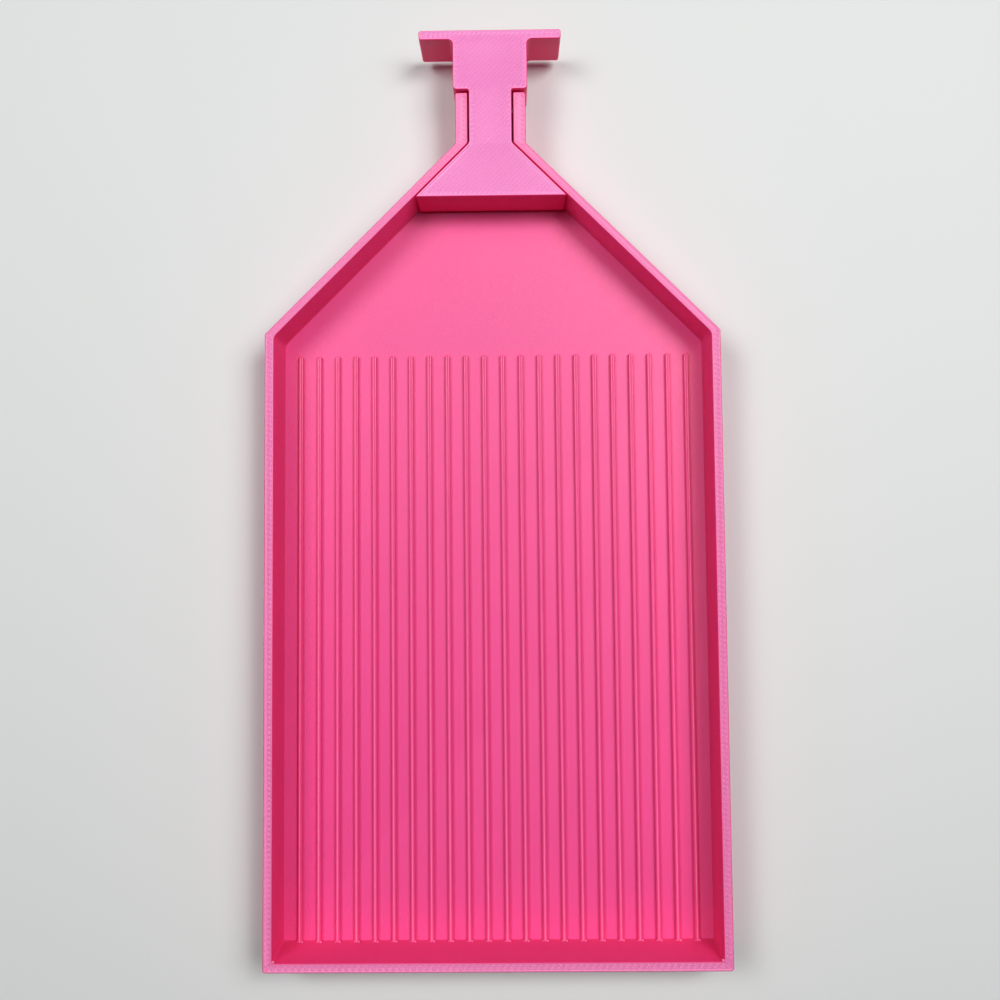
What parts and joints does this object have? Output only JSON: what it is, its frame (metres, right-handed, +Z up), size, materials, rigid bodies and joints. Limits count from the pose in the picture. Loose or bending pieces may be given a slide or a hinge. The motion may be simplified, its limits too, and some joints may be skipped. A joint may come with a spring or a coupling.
{
  "type": "bead sorting tray",
  "caption": "Shallow rectangular tray with a ribbed floor that narrows through a funnel to a spout, plugged by a lift-out stopper with a T-shaped grip.",
  "frame": {"origin": "on the surface the tray lies on, under the middle of the rectangle covered by the tray and its stopper", "axes": "+Y along the tray towards the spout and the T-bar, +X across it, +Z up out of the well"},
  "size_m": [0.095, 0.194, 0.0141],
  "materials": {
    "tray_plastic": "satin, 3-D printed",
    "stopper_plastic": "satin, 3-D printed"
  },
  "bodies": {
    "tray": {"tray": "tray_plastic"},
    "stopper": {"stopper": "stopper_plastic"}
  },
  "joints": [
    {"name": "stopper_lift", "type": "slide", "parent": "tray", "child": "stopper", "axis": [0, 0, 1], "range_m": [-0.0015, 0.02]}
  ]
}
